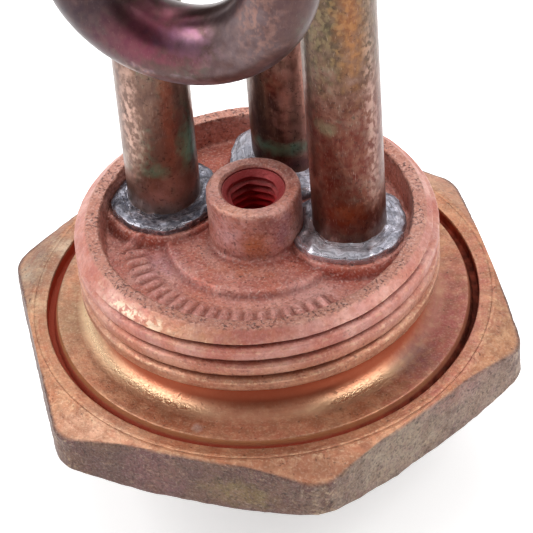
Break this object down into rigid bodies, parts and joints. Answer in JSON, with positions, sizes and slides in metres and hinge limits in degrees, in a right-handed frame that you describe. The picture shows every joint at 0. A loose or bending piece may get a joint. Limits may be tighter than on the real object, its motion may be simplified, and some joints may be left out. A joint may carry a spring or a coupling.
{
  "type": "screw plug immersion heater",
  "caption": "Brass hex screw plug with a folded copper heating element, a copper control pocket and a tapped anode boss, for heating water in a tank.",
  "frame": {"origin": "the plug's axis in the plane of the gasket seat", "axes": "+Z along the plug's axis towards the wet side, one spanner flat facing -Y, the pocket towards +Y"},
  "size_m": [0.0618, 0.0546, 0.2932],
  "materials": {
    "plug_brass": "oxidised cast and turned brass, copper-red on the wet face",
    "element_copper": "heat-tinted dark copper tube",
    "pocket_copper": "dark brown copper tube with green patina",
    "solder": "dull grey solder",
    "resistance_wire": "bare wire",
    "magnesia": "packed white powder",
    "pin_steel": "drawn steel",
    "seal_resin": "red-brown resin",
    "bush_ceramic": "off-white steatite",
    "terminal_steel": "tinned steel"
  },
  "bodies": {
    "root": {"plug_body": "plug_brass", "element_sheath": "element_copper", "pocket_tube": "pocket_copper", "solder_ring_left": "solder", "solder_ring_right": "solder", "solder_ring_back": "solder", "heating_coil": "resistance_wire", "magnesia_fill": "magnesia", "cold_pin_left": "pin_steel", "cold_pin_right": "pin_steel", "end_seal_left": "seal_resin", "end_seal_right": "seal_resin", "terminal_bush_left": "bush_ceramic", "terminal_bush_right": "bush_ceramic", "terminal_tab_left": "terminal_steel", "terminal_tab_right": "terminal_steel", "earth_tab": "terminal_steel", "earth_washer": "terminal_steel", "earth_screw": "terminal_steel"}
  },
  "joints": []
}
